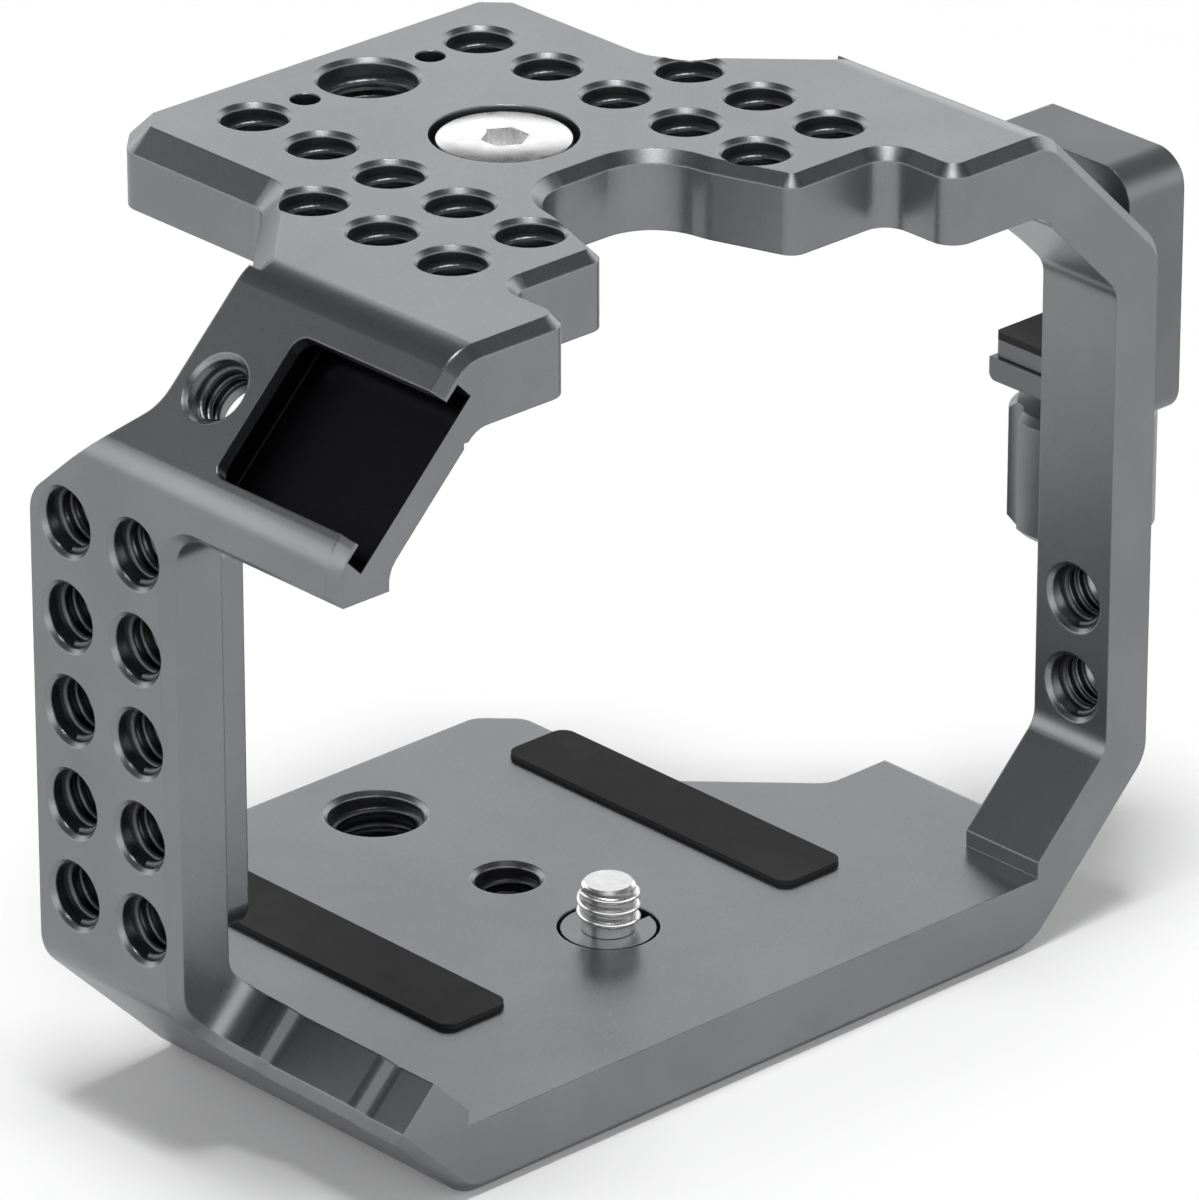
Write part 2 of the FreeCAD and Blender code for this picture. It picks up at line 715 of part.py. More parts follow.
save("cage_frame", cage_frame())
save("top_camera_screw", camera_screw(top_mouth, down, top_plate))
save("top_screw_washer", camera_screw_washer(top_mouth, down))
save("top_screw_retaining_ring", camera_screw_clip(top_mouth, down, top_plate))
save("base_camera_screw", camera_screw(base_mouth, up, base_wall))
save("base_screw_washer", camera_screw_washer(base_mouth, up))
save("base_screw_retaining_ring", camera_screw_clip(base_mouth, up, base_wall))
save("top_pads", *[top_pad(sign, pad_pocket, pad_thickness) for sign in (-1, 1)])
save("base_pads", *[base_pad(sign, pad_pocket, pad_thickness) for sign in (-1, 1)])
save("side_pad", side_pad(pad_pocket, pad_thickness))
save("clamp_body", clamp_body())
save("clamp_mounting_screws", *[clamp_screw(z) for z in clamp_screw_z])
save("clamp_dowels", *[clamp_dowel(z) for z in dowel_z])
save("clamp_jaw", clamp_jaw())
save("clamp_jaw_pad", clamp_jaw_pad())
save("clamp_top_pad", clamp_top_pad())
save("clamp_stem", clamp_stem())
save("clamp_knob", clamp_knob())
save("clamp_knob_ring", clamp_knob_ring())
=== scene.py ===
"""Looks of a camera cage: a milled, dark grey anodised frame with captive screws and a cable clamp.

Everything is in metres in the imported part's frame: X to the right seen from behind, Y forward, Z up.
"""

import math

import bpy
from mathutils import Matrix, Vector


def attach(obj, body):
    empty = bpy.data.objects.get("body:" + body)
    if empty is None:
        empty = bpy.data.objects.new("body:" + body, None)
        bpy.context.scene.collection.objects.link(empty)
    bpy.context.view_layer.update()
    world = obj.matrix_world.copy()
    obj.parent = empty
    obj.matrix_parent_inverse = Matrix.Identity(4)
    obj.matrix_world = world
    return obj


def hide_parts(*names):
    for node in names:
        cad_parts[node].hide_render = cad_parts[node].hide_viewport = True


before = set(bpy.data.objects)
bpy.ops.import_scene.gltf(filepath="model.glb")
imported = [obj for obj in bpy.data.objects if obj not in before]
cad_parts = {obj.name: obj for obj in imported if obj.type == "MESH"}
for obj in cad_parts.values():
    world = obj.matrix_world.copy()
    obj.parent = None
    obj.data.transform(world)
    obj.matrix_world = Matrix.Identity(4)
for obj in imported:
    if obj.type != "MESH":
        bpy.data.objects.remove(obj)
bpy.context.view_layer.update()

MM = 0.001

# Light: the world's strength, and its shades by height, where 0 is level or below and 1 is straight up
WORLD_LEVEL = 1.5
WORLD_SHADES = [(0.0, "ffffff"), (0.46, "ffffff"), (0.54, "484848"), (0.8, "363636"), (1.0, "6c6c6c")]
LAMP_PLACE = (-0.1, -0.1, 1.6)
LAMP_SIZE = 0.5
LAMP_POWER = 16.0

# The floor lies a hair under the base, so that the two faces don't flicker
FLOOR_HALF = 3.0
FLOOR_BELOW = 0.05

# The photograph's viewpoint, fitted to the centres and widths of the tapped holes
EYE = Vector((-579.02, -633.45, 437.89)) * MM
EYE_AZIMUTH = math.radians(-43.024)
EYE_ELEVATION = math.radians(25.030)
SENSOR_HEIGHT = 36.0
LENS = 297.98
NEAREST_SEEN = 0.01

# Sizes shared with the milled parts, in millimetres
TOP = 85.2
BASE_WALL = 7.6
TOP_PLATE = 7.8
WALL = 6.6
HALF_WIDTH = 52.9
FLAT_HALF = 37.2
PITCH = 9.525
BASE_SCREW_Y = -14.3

# Tapped holes: columns and rows counted in pitches from the origin, other places in millimetres
INNER_COLUMN = 1.5
OUTER_COLUMN = 2.5
LARGE_HOLE_ROW = 2
SIDE_FIRST_Y = 1.7
SIDE_TOP_Z = 61.23
UPRIGHT_HOLE_Y = -30.35
UPRIGHT_TOP_Z = 33.0
SLOPE_HOLE_Y = -11.35
SLOPE_HOLE_DOWN = 12.1

# The clamp's stem
STEM_X = 58.0
STEM_Y = -19.85
STEM_LOW = 36.1
STEM_HIGH = 52.5
JAW_LOW = 50.7

# The painted shade in the shoe on the upper left slope: distances down the slope, along Y and under its skin
SHOE_NEAR = 2.5
SHOE_FAR = 21.3
SHOE_FRONT = -16.5
SHOE_LIP = 1.5
SHOE_DEEP = 3.7
SHOE_LIP_MARGIN = 0.05
SHOE_BEHIND = -100.0
# Painted shade: the near-black colour of the shoe's floor and the walls under its lips
SHOE_PAINTED_SHADE_COLOUR = "26262a"

# Camera screws: radii, and distances along the axis from the plate's outer face
SCREW_FACE = 0.3
SCREW_UNDER_HEAD = 3.2
SCREW_HEAD_RADIUS = 6.5
SCREW_CORE_RADIUS = 2.6
SCREW_NECK_BEYOND = 0.4
SCREW_THREAD_LENGTH = 4.5
SCREW_GROOVE_BACK = 0.65
SCREW_GROOVE_WIDTH = 0.6
SCREW_GROOVE_RADIUS = 2.25
SCREW_HEX = 4.0
SCREW_HEX_DEPTH = 1.7
SCREW_EDGE = 0.3
SCREW_EDGE_MIDDLE = (0.08, 0.09)
SCREW_UNDER_EDGE = 0.1
SOCKET_MOUTH_WIDER = 0.25
SOCKET_MOUTH_PROUD = 0.1
SOCKET_MOUTH_DEPTH = 0.15

# The stem's thread: its tip's edge, where the plain part swells out, and where the ridge starts and stops
STEM_TIP_EDGE = 0.3
STEM_SWELL_START = 0.5
STEM_SWELL_END = 0.2
STEM_RIDGE_START = 0.4
STEM_RIDGE_SHORTER = 1.1

# Threads: major radius, minor radius and pitch
QUARTER = (3.175, 2.6, 1.27)
THREE_EIGHTHS = (4.7625, 4.05, 1.5875)
MOUTH_CHAMFER = 0.45
SCREW_THREAD = (3.1, 2.6, 1.27)
STEM_THREAD = (1.5, 1.2, 0.5)

# A thread's ridge: half its foot and half its crest as shares of the pitch, and its sink into the wall as a
# share of its depth
RIDGE_FOOT = 0.42
RIDGE_CREST = 0.07
RIDGE_SINK = -0.06

# How finely round pieces are drawn: a thread's steps in each turn, and the sides of a turned piece
HOLE_THREAD_STEPS = 28
SCREW_THREAD_STEPS = 48
STEM_THREAD_STEPS = 24
SCREW_SIDES = 96
STEM_SIDES = 48
HEX_SIDES = 6

DOWN = Vector((0, 0, -1))
UP = Vector((0, 0, 1))
RIGHT = Vector((1, 0, 0))
LEFT = Vector((-1, 0, 0))
SLOPE_OUT = Vector((-1, 0, 1)).normalized()
SLOPE_DOWN = Vector((-1, 0, -1)).normalized()


# Patterns, in repeats per millimetre. The blasted grain and the tool marks are drawn coarser than real ones,
# which are too fine to show; the dye's clouds are patches of about a centimetre
DYE_SCALE = 0.09
BLAST_SCALE = 5.5
RING_SCALE = 1.6
# The part of a noise's range that is stretched over each finish's colours and roughness
NOISE_LOW = 0.3
NOISE_HIGH = 0.7


# Shader building
def linear(code):
    """An sRGB hex colour as linear red, green, blue and alpha."""
    channels = [int(code[k:k + 2], 16) / 255 for k in (0, 2, 4)]
    return [c / 12.92 if c <= 0.04045 else ((c + 0.055) / 1.055) ** 2.4 for c in channels] + [1.0]


def node(tree, kind, settings=None, inputs=None):
    """Adds a node, sets its properties, and sets or links its inputs."""
    made = tree.nodes.new(kind)
    for name, value in (settings or {}).items():
        setattr(made, name, value)
    for name, value in (inputs or {}).items():
        socket = made.inputs[name]
        if isinstance(value, bpy.types.NodeSocket):
            tree.links.new(value, socket)
        else:
            socket.default_value = value
    return made


def new_material(name):
    """An empty material with its output, shader and Object coordinates in millimetres."""
    material = bpy.data.materials.new(name)
    material.use_nodes = True
    tree = material.node_tree
    tree.nodes.clear()
    coordinates = node(tree, "ShaderNodeTexCoord")
    scaled = node(tree, "ShaderNodeVectorMath", {"operation": "SCALE"},
                  {0: coordinates.outputs["Object"], "Scale": 1000.0})
    return material, tree, scaled.outputs[0]


def noise(tree, where, scale, detail=2.0, roughness=0.5):
    return node(tree, "ShaderNodeTexNoise", None,
                {"Vector": where, "Scale": scale, "Detail": detail, "Roughness": roughness}).outputs["Fac"]


def ramp(tree, value, stops):
    """A colour ramp through (position, hex colour) stops."""
    made = node(tree, "ShaderNodeValToRGB", None, {"Fac": value})
    elements = made.color_ramp.elements
    while len(elements) < len(stops):
        elements.new(0.5)
    for element, (position, code) in zip(elements, stops):
        element.position = position
        element.color = linear(code)
    return made.outputs["Color"]


def spread(tree, value, low, high, to_low, to_high):
    """Maps one range of numbers onto another."""
    return node(tree, "ShaderNodeMapRange", {"clamp": True},
                {"Value": value, "From Min": low, "From Max": high, "To Min": to_low,
                 "To Max": to_high}).outputs["Result"]


def bump(tree, height, strength, distance, normal=None):
    inputs = {"Height": height, "Strength": strength, "Distance": distance}
    if normal is not None:
        inputs["Normal"] = normal
    return node(tree, "ShaderNodeBump", None, inputs).outputs["Normal"]


def finish_shader(tree, inputs):
    shader = node(tree, "ShaderNodeBsdfPrincipled", None, inputs)
    node(tree, "ShaderNodeOutputMaterial", None, {"Surface": shader.outputs["BSDF"]})


def along(tree, where, direction, low, high):
    """One where the position's part along a direction lies between two values, else nought."""
    value = node(tree, "ShaderNodeVectorMath", {"operation": "DOT_PRODUCT"}, {0: where, 1: direction}
                 ).outputs["Value"]
    above = node(tree, "ShaderNodeMath", {"operation": "GREATER_THAN"}, {0: value, 1: low}).outputs[0]
    below = node(tree, "ShaderNodeMath", {"operation": "LESS_THAN"}, {0: value, 1: high}).outputs[0]
    return node(tree, "ShaderNodeMath", {"operation": "MULTIPLY"}, {0: above, 1: below}).outputs[0]


def shoe_painted_shade(tree, where):
    """The mask of painted shade on the accessory shoe's floor and undercut, below its two lips."""
    corner = Vector((-FLAT_HALF, 0, TOP))
    skin = corner.dot(SLOPE_OUT)
    start = corner.dot(SLOPE_DOWN)
    deep = along(tree, where, SLOPE_OUT, skin - SHOE_DEEP, skin - SHOE_LIP + SHOE_LIP_MARGIN)
    down = along(tree, where, SLOPE_DOWN, start + SHOE_NEAR, start + SHOE_FAR)
    back = along(tree, where, (0, 1, 0), SHOE_BEHIND, SHOE_FRONT)
    both = node(tree, "ShaderNodeMath", {"operation": "MULTIPLY"}, {0: deep, 1: down}).outputs[0]
    return node(tree, "ShaderNodeMath", {"operation": "MULTIPLY"}, {0: both, 1: back}).outputs[0]


def anodised(name, dark, pale, roughness, rounding, with_shoe_shade=False):
    """Bead-blasted, anodised aluminium: fine even grain, soft wide highlights, faintly cloudy dye."""
    material, tree, where = new_material(name)
    cloud = noise(tree, where, DYE_SCALE, 3.0)
    colour = ramp(tree, cloud, [(NOISE_LOW, dark), (NOISE_HIGH, pale)])
    # Painted shade: the shoe's floor and the walls under its lips drawn near black
    if with_shoe_shade:
        colour = node(tree, "ShaderNodeMix", {"data_type": "RGBA"},
                      {"Factor": shoe_painted_shade(tree, where), "A": colour, "B": linear(SHOE_PAINTED_SHADE_COLOUR)}
                      ).outputs["Result"]
    grain = noise(tree, where, BLAST_SCALE, 2.0, 0.6)
    edge = node(tree, "ShaderNodeBevel", {"samples": 4}, {"Radius": rounding * MM}).outputs["Normal"]
    surface = bump(tree, grain, 0.12, 0.02 * MM, edge)
    rough = spread(tree, grain, NOISE_LOW, NOISE_HIGH, roughness - 0.03, roughness + 0.03)
    finish_shader(tree, {"Base Color": colour, "Metallic": 1.0, "Roughness": rough, "Normal": surface})
    return material


def turned_steel(name, dark, pale, roughness, centre):
    """Steel turned on a lathe: concentric tool marks about the piece's own axis."""
    material, tree, where = new_material(name)
    centred = node(tree, "ShaderNodeVectorMath", {"operation": "SUBTRACT"}, {0: where, 1: centre}).outputs[0]
    shape = {"wave_type": "RINGS", "rings_direction": "Z", "wave_profile": "SIN"}
    rings = node(tree, "ShaderNodeTexWave", shape,
                 {"Vector": centred, "Scale": RING_SCALE, "Distortion": 0.3, "Detail": 1.0}).outputs["Fac"]
    colour = ramp(tree, rings, [(0.1, dark), (0.9, pale)])
    surface = bump(tree, rings, 0.03, 0.01 * MM)
    smear = noise(tree, where, 0.8, 3.0)
    rough = spread(tree, smear, NOISE_LOW, NOISE_HIGH, roughness - 0.04, roughness + 0.05)
    finish_shader(tree, {"Base Color": colour, "Metallic": 1.0, "Roughness": rough, "Normal": surface})
    return material


def plain_metal(name, dark, pale, roughness):
    """Small pressed or ground steel pieces: even grey with a fine grain."""
    material, tree, where = new_material(name)
    grain = noise(tree, where, 2.5, 3.0)
    colour = ramp(tree, grain, [(NOISE_LOW, dark), (NOISE_HIGH, pale)])
    rough = spread(tree, grain, NOISE_LOW, NOISE_HIGH, roughness - 0.04, roughness + 0.04)
    finish_shader(tree, {"Base Color": colour, "Metallic": 1.0, "Roughness": rough,
                         "Normal": bump(tree, grain, 0.2, 0.02 * MM)})
    return material


def dull(name, dark, pale, roughness, grain_scale, relief):
    """Rubber or nylon: no metal, a wide dull sheen and a fine pebbled skin."""
    material, tree, where = new_material(name)
    pebble = node(tree, "ShaderNodeTexVoronoi", {"feature": "F1"}, {"Vector": where, "Scale": grain_scale}
                  ).outputs["Distance"]
    cloud = noise(tree, where, 0.4, 3.0)
    colour = ramp(tree, cloud, [(NOISE_LOW, dark), (NOISE_HIGH, pale)])
    rough = spread(tree, cloud, NOISE_LOW, NOISE_HIGH, roughness - 0.05, roughness + 0.05)
    finish_shader(tree, {"Base Color": colour, "Roughness": rough,
                         "Normal": bump(tree, pebble, 0.35, relief * MM)})
    return material


# The frame: a grey dye on blasted metal, so it mirrors what is round it as broad, soft light and dark
# Its shoe's floor and undercut carry painted shade
FRAME_FINISH = anodised("dark_grey_bead_blasted_anodised_aluminium", "858689", "8c8d90", 0.3, 0.25, True)
# The clamp: a shade darker than the frame, as a part from another dye batch
CLAMP_FINISH = anodised("clamp_anodised_aluminium", "77787b", "7f8083", 0.42, 0.2)
# The knob: a shade paler than its block, with tight highlights down its lobes
KNOB_FINISH = anodised("knob_anodised_aluminium", "808184", "898a8d", 0.34, 0.2)
# Thread flanks: painted shade, drawn darker than the frame where they lie deep in their holes, with crisp
# edges
THREAD_PAINTED_SHADE_FINISH = anodised("tapped_thread_painted_shade_anodised_aluminium", "5a5b5e", "626366", 0.36, 0.03)
# Camera screws: the brightest pieces, nearly white, with fine turned rings
TOP_STEEL = turned_steel("turned_steel_top_screw", "e4e4e4", "efefef", 0.28, (0, 0, TOP))
BASE_STEEL = turned_steel("turned_steel_base_screw", "e4e4e4", "efefef", 0.28, (0, BASE_SCREW_Y, 0))
# The jaw's stem: plain bright steel, seen only when the jaw is raised
STEM_STEEL = turned_steel("turned_steel_stem", "b4b5b8", "c6c7c9", 0.3, (STEM_X, STEM_Y, 0))
# Retaining rings, clamp screws and dowels: small steel pieces, from near black to pale grey
RING_STEEL = plain_metal("pressed_spring_steel", "8c8d8f", "9c9d9f", 0.35)
BLACK_STEEL = plain_metal("blackened_steel", "343437", "3e3e41", 0.4)
GROUND_STEEL = plain_metal("ground_steel_dowel", "b0b1b4", "bfc0c2", 0.3)
# Washers and pads: the only dull blacks
NYLON = dull("moulded_black_nylon", "1b1b1c", "222223", 0.5, 4.0, 0.01)
RUBBER = dull("moulded_black_rubber", "161617", "1e1e1f", 0.75, 3.0, 0.02)

CAD_FINISHES = {
    "cage_frame": FRAME_FINISH, "top_camera_screw": TOP_STEEL, "top_screw_washer": NYLON,
    "top_screw_retaining_ring": RING_STEEL, "base_camera_screw": BASE_STEEL, "base_screw_washer": NYLON,
    "base_screw_retaining_ring": RING_STEEL, "top_pads": RUBBER, "base_pads": RUBBER, "side_pad": RUBBER,
    "clamp_body": CLAMP_FINISH, "clamp_mounting_screws": BLACK_STEEL, "clamp_dowels": GROUND_STEEL,
    "clamp_jaw": CLAMP_FINISH, "clamp_jaw_pad": RUBBER, "clamp_top_pad": RUBBER,
    "clamp_stem": STEM_STEEL, "clamp_knob": KNOB_FINISH, "clamp_knob_ring": RING_STEEL}

for name, finish in CAD_FINISHES.items():
    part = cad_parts[name]
    part.data.materials.clear()
    part.data.materials.append(finish)


# Threads, laid by a node tree along their holes and shanks
def input_socket(tree, name, kind, value):
    socket = tree.interface.new_socket(name=name, in_out="INPUT", socket_type=kind)
    socket.default_value = value
    return socket.identifier


def thread_tree(name, material):
    """Lays one helical ridge per marked point: it stands on the wall radius and ends at the crest radius."""
    tree = bpy.data.node_groups.new(name, "GeometryNodeTree")
    tree.interface.new_socket(name="Geometry", in_out="INPUT", socket_type="NodeSocketGeometry")
    tree.interface.new_socket(name="Geometry", in_out="OUTPUT", socket_type="NodeSocketGeometry")
    keys = {}
    major, minor, pitch = QUARTER
    for label, value in (("Wall Radius", major * MM), ("Crest Radius", minor * MM),
                         ("Thread Pitch", pitch * MM), ("Length", TOP_PLATE * MM), ("Start", 0.0)):
        keys[label] = input_socket(tree, label, "NodeSocketFloat", value)
    keys["Steps"] = input_socket(tree, "Steps", "NodeSocketInt", HOLE_THREAD_STEPS)
    sizes = node(tree, "NodeGroupInput").outputs

    def math_node(operation, a, b=0.0):
        return node(tree, "ShaderNodeMath", {"operation": operation}, {0: a, 1: b}).outputs[0]

    turns = math_node("DIVIDE", sizes["Length"], sizes["Thread Pitch"])
    spiral = node(tree, "GeometryNodeCurveSpiral", None,
                  {"Resolution": sizes["Steps"], "Rotations": turns, "Start Radius": sizes["Wall Radius"],
                   "End Radius": sizes["Wall Radius"], "Height": sizes["Length"]}).outputs[0]
    level = node(tree, "GeometryNodeSetCurveNormal", {"mode": "Z_UP"}, {"Curve": spiral}).outputs[0]
    lift = node(tree, "ShaderNodeCombineXYZ", None, {"Z": sizes["Start"]}).outputs[0]
    placed = node(tree, "GeometryNodeTransform", None, {"Geometry": level, "Translation": lift}).outputs[0]
    depth = math_node("SUBTRACT", sizes["Wall Radius"], sizes["Crest Radius"])
    foot = math_node("MULTIPLY", sizes["Thread Pitch"], RIDGE_FOOT)
    crest = math_node("MULTIPLY", sizes["Thread Pitch"], RIDGE_CREST)
    inside = math_node("MULTIPLY", depth, RIDGE_SINK)
    corners = []
    for across, lengthways in ((inside, foot), (inside, math_node("MULTIPLY", foot, -1.0)),
                               (depth, math_node("MULTIPLY", crest, -1.0)), (depth, crest)):
        corners.append(node(tree, "ShaderNodeCombineXYZ", None, {"X": across, "Y": lengthways}).outputs[0])
    profile = node(tree, "GeometryNodeCurvePrimitiveQuadrilateral", {"mode": "POINTS"},
                   {"Point 1": corners[0], "Point 2": corners[1], "Point 3": corners[2],
                    "Point 4": corners[3]}).outputs[0]
    ridge = node(tree, "GeometryNodeCurveToMesh", None,
                 {"Curve": placed, "Profile Curve": profile, "Fill Caps": True}).outputs[0]
    axis = node(tree, "GeometryNodeInputNamedAttribute", {"data_type": "FLOAT_VECTOR"}, {"Name": "axis"})
    turned = node(tree, "FunctionNodeAlignRotationToVector", {"axis": "Z"},
                  {"Vector": axis.outputs["Attribute"]}).outputs[0]
    points = node(tree, "GeometryNodeMeshToPoints", None, {"Mesh": sizes["Geometry"]}).outputs[0]
    laid = node(tree, "GeometryNodeInstanceOnPoints", None,
                {"Points": points, "Instance": ridge, "Rotation": turned}).outputs[0]
    real = node(tree, "GeometryNodeRealizeInstances", None, {"Geometry": laid}).outputs[0]
    done = node(tree, "GeometryNodeSetMaterial", None, {"Geometry": real, "Material": material}).outputs[0]
    node(tree, "NodeGroupOutput", None, {"Geometry": done})
    return tree, keys


def marked_points(name, places):
    """A mesh of points with the direction of each one's axis."""
    mesh = bpy.data.meshes.new(name)
    mesh.from_pydata([tuple(place * MM) for place, _ in places], [], [])
    axis = mesh.attributes.new("axis", "FLOAT_VECTOR", "POINT")
    for index, (_, direction) in enumerate(places):
        axis.data[index].vector = direction
    made = bpy.data.objects.new(name, mesh)
    bpy.context.scene.collection.objects.link(made)
    return made


def plain_mesh(name, source):
    """The evaluated result as a new, plain mesh object; the source is removed."""
    bpy.context.view_layer.update()
    evaluated = source.evaluated_get(bpy.context.evaluated_depsgraph_get())
    mesh = bpy.data.meshes.new_from_object(evaluated)
    mesh.name = name
    made = bpy.data.objects.new(name, mesh)
    bpy.context.scene.collection.objects.link(made)
    bpy.data.objects.remove(source)
    return made


def threads(name, places, thread, start, length, material, outside=False,
            steps=HOLE_THREAD_STEPS):
    """Helical ridges in holes, or round shanks: places are (start point, direction) pairs in millimetres."""
    major, minor, pitch = thread
    wall, crest = (minor, major) if outside else (major, minor)
    tree, keys = thread_tree(name + "_tree", material)
    source = marked_points(name + "_points", places)
    modifier = source.modifiers.new("threads", "NODES")
    modifier.node_group = tree
    values = {"Wall Radius": wall * MM, "Crest Radius": crest * MM, "Thread Pitch": pitch * MM,
              "Length": length * MM, "Start": start * MM, "Steps": steps}
    for label, value in values.items():
        modifier[keys[label]] = value
    return plain_mesh(name, source)


def hole_ridges(name, places, thread, depth, both_mouths):
    """The thread of holes of one depth, clear of their chamfered mouths by half a pitch."""
    clear = MOUTH_CHAMFER + thread[2] / 2
    length = depth - clear - (clear if both_mouths else thread[2] / 2)
    made = threads(name, places, thread, clear, length, THREAD_PAINTED_SHADE_FINISH)
    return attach(made, "frame")


top_quarter = [(sign * INNER_COLUMN, LARGE_HOLE_ROW - k) for k in range(5) for sign in (-1, 1)]
top_quarter += [(sign * OUTER_COLUMN, -k) for k in range(3) for sign in (-1, 1)]
top_places = [(Vector((x * PITCH, y * PITCH, TOP)), DOWN) for x, y in top_quarter]
hole_ridges("top_plate_quarter_threads", top_places, QUARTER, TOP_PLATE, True)
large_y = LARGE_HOLE_ROW * PITCH
hole_ridges("top_plate_large_thread", [(Vector((0, large_y, TOP)), DOWN)], THREE_EIGHTHS, TOP_PLATE, True)
hole_ridges("base_large_thread", [(Vector((0, large_y, 0)), UP)], THREE_EIGHTHS, BASE_WALL, True)
hole_ridges("base_quarter_thread", [(Vector((0, 0, BASE_WALL)), DOWN)], QUARTER, BASE_WALL, False)
side_places = [(Vector((-HALF_WIDTH, SIDE_FIRST_Y - column * PITCH, SIDE_TOP_Z - row * PITCH)), RIGHT)
               for row in range(5) for column in range(2)]
hole_ridges("left_wall_threads", side_places, QUARTER, WALL, False)
upright_places = [(Vector((HALF_WIDTH, UPRIGHT_HOLE_Y, UPRIGHT_TOP_Z - row * PITCH)), LEFT)
                  for row in range(2)]
hole_ridges("right_upright_threads", upright_places, QUARTER, WALL, True)
slope_place = Vector((-FLAT_HALF, SLOPE_HOLE_Y, TOP)) + SLOPE_DOWN * SLOPE_HOLE_DOWN
hole_ridges("slope_thread", [(slope_place, -SLOPE_OUT)], QUARTER, WALL, True)


# Screws, turned from their profiles
def turned(name, profile, place, direction, material, segments=SCREW_SIDES):
    """A solid of revolution through (radius, distance) corners, its distances measured along direction."""
    turn = Vector(direction).to_track_quat("Z", "X")
    points = []
    faces = []
    for radius, distance in profile:
        for k in range(segments):
            angle = 2 * math.pi * k / segments
            spot = Vector((radius * math.cos(angle), radius * math.sin(angle), distance))
            points.append(tuple((Vector(place) + turn @ spot) * MM))
    for ring in range(len(profile) - 1):
        for k in range(segments):
            here = ring * segments
            there = here + segments
            following = (k + 1) % segments
            faces.append((here + k, here + following, there + following, there + k))
    faces.append(tuple(range(segments - 1, -1, -1)))
    faces.append(tuple(range((len(profile) - 1) * segments, len(profile) * segments)))
    mesh = bpy.data.meshes.new(name)
    mesh.from_pydata(points, [], faces)
    mesh.materials.append(material)
    made = bpy.data.objects.new(name, mesh)
    bpy.context.scene.collection.objects.link(made)
    return made


def rounded_smooth(made, angle=35.0):
    """Smooth shading with creases kept where faces meet at more than the angle."""
    for polygon in made.data.polygons:
        polygon.use_smooth = True
    made.data.set_sharp_from_angle(angle=math.radians(angle))
    return made


def carved(made, tool):
    """The piece with the tool's volume taken away, as a plain mesh."""
    modifier = made.modifiers.new("socket", "BOOLEAN")
    modifier.operation = "DIFFERENCE"
    modifier.object = tool
    modifier.solver = "EXACT"
    name = made.name
    made.name = name + "_source"
    result = plain_mesh(name, made)
    bpy.data.objects.remove(tool)
    return result


def camera_screw(name, node_name, body, place, direction, plate, material):
    """A flat-headed captive screw: hex socket, ring groove and a helical thread on its end."""
    neck_end = plate + SCREW_NECK_BEYOND
    tip = neck_end + SCREW_THREAD_LENGTH
    groove = plate - SCREW_GROOVE_BACK
    core = SCREW_CORE_RADIUS
    groove_end = groove + SCREW_GROOVE_WIDTH
    head = SCREW_HEAD_RADIUS
    inward, along_axis = SCREW_EDGE_MIDDLE
    profile = [(head - SCREW_EDGE, SCREW_FACE), (head - inward, SCREW_FACE + along_axis),
               (head, SCREW_FACE + SCREW_EDGE), (head, SCREW_UNDER_HEAD - SCREW_UNDER_EDGE),
               (head - SCREW_UNDER_EDGE, SCREW_UNDER_HEAD), (core, SCREW_UNDER_HEAD), (core, groove),
               (SCREW_GROOVE_RADIUS, groove), (SCREW_GROOVE_RADIUS, groove_end),
               (core, groove_end), (core, tip - SCREW_EDGE), (core - SCREW_EDGE, tip)]
    piece = turned(name, profile, place, direction, material)
    corner = SCREW_HEX / math.sqrt(3)
    socket = [(corner + SOCKET_MOUTH_WIDER, SCREW_FACE - SOCKET_MOUTH_PROUD),
              (corner, SCREW_FACE + SOCKET_MOUTH_DEPTH), (corner, SCREW_FACE + SCREW_HEX_DEPTH)]
    tool = turned(name + "_socket", socket, place, direction, material, HEX_SIDES)
    piece = rounded_smooth(carved(piece, tool))
    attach(piece, body)
    ridge = threads(name + "_thread", [(Vector(place), Vector(direction))], SCREW_THREAD,
                    neck_end + SCREW_THREAD[2] / 2, SCREW_THREAD_LENGTH - SCREW_THREAD[2], material, True,
                    SCREW_THREAD_STEPS)
    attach(ridge, body)
    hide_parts(node_name)


def jaw_stem():
    """The jaw's stem: plain where it is pressed into the jaw, threaded below."""
    full, core, _ = STEM_THREAD
    bare = JAW_LOW - STEM_LOW
    profile = [(core - STEM_TIP_EDGE, 0), (core, STEM_TIP_EDGE), (core, bare - STEM_SWELL_START),
               (full, bare - STEM_SWELL_END), (full, STEM_HIGH - STEM_LOW)]
    place = Vector((STEM_X, STEM_Y, STEM_LOW))
    piece = rounded_smooth(turned("jaw_stem", profile, place, UP, STEM_STEEL, STEM_SIDES))
    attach(piece, "jaw")
    ridge = threads("jaw_stem_thread", [(place, UP)], STEM_THREAD, STEM_RIDGE_START,
                    bare - STEM_RIDGE_SHORTER, STEM_STEEL, True, STEM_THREAD_STEPS)
    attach(ridge, "jaw")
    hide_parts("clamp_stem")


camera_screw("top_screw_turned", "top_camera_screw", "top_screw", (0, 0, TOP), DOWN, TOP_PLATE, TOP_STEEL)
camera_screw("base_screw_turned", "base_camera_screw", "base_screw", (0, BASE_SCREW_Y, 0), UP, BASE_WALL,
             BASE_STEEL)
jaw_stem()


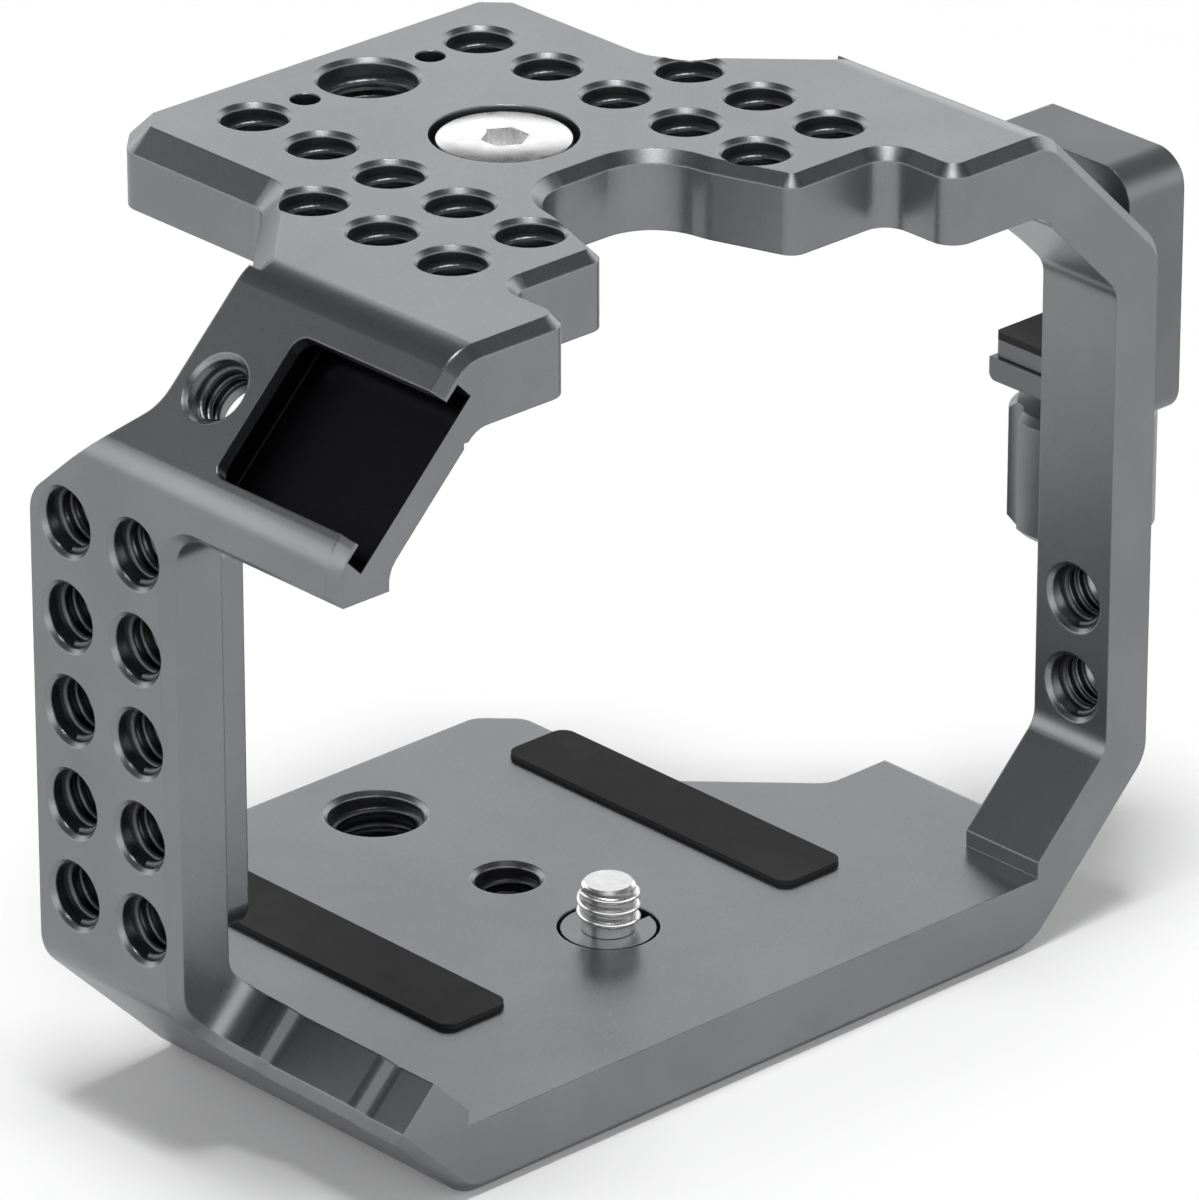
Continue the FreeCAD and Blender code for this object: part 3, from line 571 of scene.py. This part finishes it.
# Floor, light and camera
def stage_floor():
    """A plain pale floor far larger than the cage."""
    low = -FLOOR_BELOW * MM
    corners = [(x * FLOOR_HALF, y * FLOOR_HALF, low) for x, y in ((-1, -1), (1, -1), (1, 1), (-1, 1))]
    mesh = bpy.data.meshes.new("studio_floor")
    mesh.from_pydata(corners, [], [(0, 1, 2, 3)])
    floor = bpy.data.objects.new("studio_floor", mesh)
    bpy.context.scene.collection.objects.link(floor)
    material, tree, where = new_material("matt_white_floor")
    seen = node(tree, "ShaderNodeLightPath").outputs["Is Camera Ray"]
    faint = ramp(tree, noise(tree, where, 0.02), [(0.3, "fdfdfd"), (0.7, "fefefe")])
    plain = node(tree, "ShaderNodeMix", {"data_type": "RGBA"},
                 {"Factor": seen, "A": linear("e8e8e8"), "B": faint}).outputs["Result"]
    finish_shader(tree, {"Base Color": plain, "Roughness": 0.9, "Specular IOR Level": 0.0})
    mesh.materials.append(material)


def studio_world():
    """Bright from below up to 27 degrees above level and darker overhead, as in a tent open at the top."""
    world = bpy.data.worlds.new("studio")
    bpy.context.scene.world = world
    world.use_nodes = True
    tree = world.node_tree
    tree.nodes.clear()
    direction = node(tree, "ShaderNodeTexCoord").outputs["Generated"]
    height = node(tree, "ShaderNodeSeparateXYZ", None, {"Vector": direction}).outputs["Z"]
    shade = ramp(tree, height, WORLD_SHADES)
    shown = node(tree, "ShaderNodeBackground", None, {"Color": shade, "Strength": WORLD_LEVEL})
    white = node(tree, "ShaderNodeBackground", None, {"Color": (1, 1, 1, 1), "Strength": 1.0})
    ray = node(tree, "ShaderNodeLightPath").outputs["Is Camera Ray"]
    both = node(tree, "ShaderNodeMixShader", None,
                {0: ray, 1: shown.outputs["Background"], 2: white.outputs["Background"]}).outputs[0]
    node(tree, "ShaderNodeOutputWorld", None, {"Surface": both})


def soft_lamp(name, place, size, power):
    """A square soft box that looks at the middle of the cage."""
    data = bpy.data.lights.new(name, "AREA")
    data.size = size
    data.energy = power
    lamp = bpy.data.objects.new(name, data)
    middle = Vector((0, 0, TOP / 2 * MM))
    lamp.matrix_world = (Matrix.Translation(place)
                         @ (middle - Vector(place)).to_track_quat("-Z", "Y").to_matrix().to_4x4())
    bpy.context.scene.collection.objects.link(lamp)


def photograph_camera():
    """The viewpoint of the photograph, from its direction and focal length."""
    back = Vector((math.sin(EYE_AZIMUTH) * math.cos(EYE_ELEVATION),
                   -math.cos(EYE_AZIMUTH) * math.cos(EYE_ELEVATION), math.sin(EYE_ELEVATION)))
    right = Vector((math.cos(EYE_AZIMUTH), math.sin(EYE_AZIMUTH), 0))
    up = back.cross(right)
    data = bpy.data.cameras.new("photograph")
    data.sensor_fit = "VERTICAL"
    data.sensor_height = SENSOR_HEIGHT
    data.lens = LENS
    data.clip_start = NEAREST_SEEN
    camera = bpy.data.objects.new("photograph", data)
    turn = Matrix((right, up, back)).transposed().to_4x4()
    camera.matrix_world = Matrix.Translation(EYE) @ turn
    bpy.context.scene.collection.objects.link(camera)
    bpy.context.scene.camera = camera


stage_floor()
studio_world()
soft_lamp("overhead", LAMP_PLACE, LAMP_SIZE, LAMP_POWER)
photograph_camera()
bpy.context.scene.view_settings.view_transform = "Standard"
